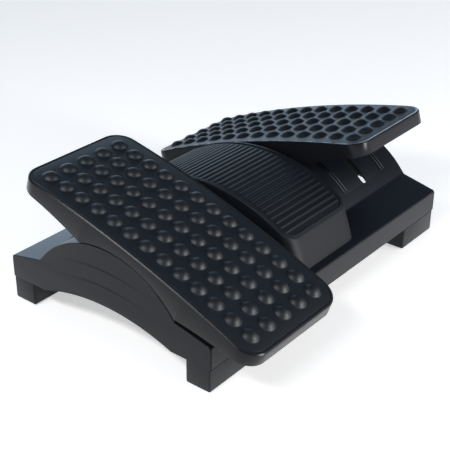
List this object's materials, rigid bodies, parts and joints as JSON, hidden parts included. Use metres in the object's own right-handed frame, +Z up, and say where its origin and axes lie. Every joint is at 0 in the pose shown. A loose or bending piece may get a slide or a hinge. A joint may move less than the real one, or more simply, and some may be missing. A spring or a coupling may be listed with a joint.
{
  "type": "tilting footrest",
  "caption": "Low under-desk footrest: an arched base with a ribbed centre cover between domed foot pedals that rock fore and aft over it, each on its own.",
  "frame": {"origin": "on the floor under the middle of the base", "axes": "+X across the user to the right pedal, +Y away from the user's heels, +Z up"},
  "size_m": [0.45, 0.3948, 0.165],
  "materials": {
    "shell_plastic": "moulded, fine matte grain",
    "cover_plastic": "moulded, satin",
    "rail_plastic": "moulded, fine matte grain",
    "pedal_plastic": "moulded, satin",
    "mat_rubber": "soft thermoplastic rubber, low sheen",
    "foot_rubber": "rubber, matte",
    "glide_nylon": "natural nylon",
    "keel_acetal": "black acetal, satin",
    "zinc_steel": "bright zinc"
  },
  "bodies": {
    "base": {"base_shell": "shell_plastic", "centre_cover": "cover_plastic", "front_foot_rail": "rail_plastic", "rear_foot_rail": "rail_plastic", "front_left_foot_pad": "foot_rubber", "front_right_foot_pad": "foot_rubber", "rear_left_foot_pad": "foot_rubber", "rear_right_foot_pad": "foot_rubber", "front_rail_screws": "zinc_steel", "rear_rail_screws": "zinc_steel", "cover_screws": "zinc_steel"},
    "left_pedal": {"left_pedal_shell": "pedal_plastic", "left_tread_mat": "mat_rubber", "left_inner_glide": "glide_nylon", "left_outer_glide": "glide_nylon", "left_guide_keel": "keel_acetal", "left_retainer_plate": "keel_acetal", "left_spring_washers": "zinc_steel", "left_guide_screws": "zinc_steel"},
    "right_pedal": {"right_pedal_shell": "pedal_plastic", "right_tread_mat": "mat_rubber", "right_inner_glide": "glide_nylon", "right_outer_glide": "glide_nylon", "right_guide_keel": "keel_acetal", "right_retainer_plate": "keel_acetal", "right_spring_washers": "zinc_steel", "right_guide_screws": "zinc_steel"}
  },
  "joints": [
    {"name": "left_pedal_rock", "type": "hinge", "parent": "base", "child": "left_pedal", "pos_m": [-0.1477, 0, -0.0074], "axis": [1, 0, 0], "range_deg": [-35.4, 0]},
    {"name": "right_pedal_rock", "type": "hinge", "parent": "base", "child": "right_pedal", "pos_m": [0.1477, 0, -0.0074], "axis": [1, 0, 0], "range_deg": [0, 35.4]}
  ]
}
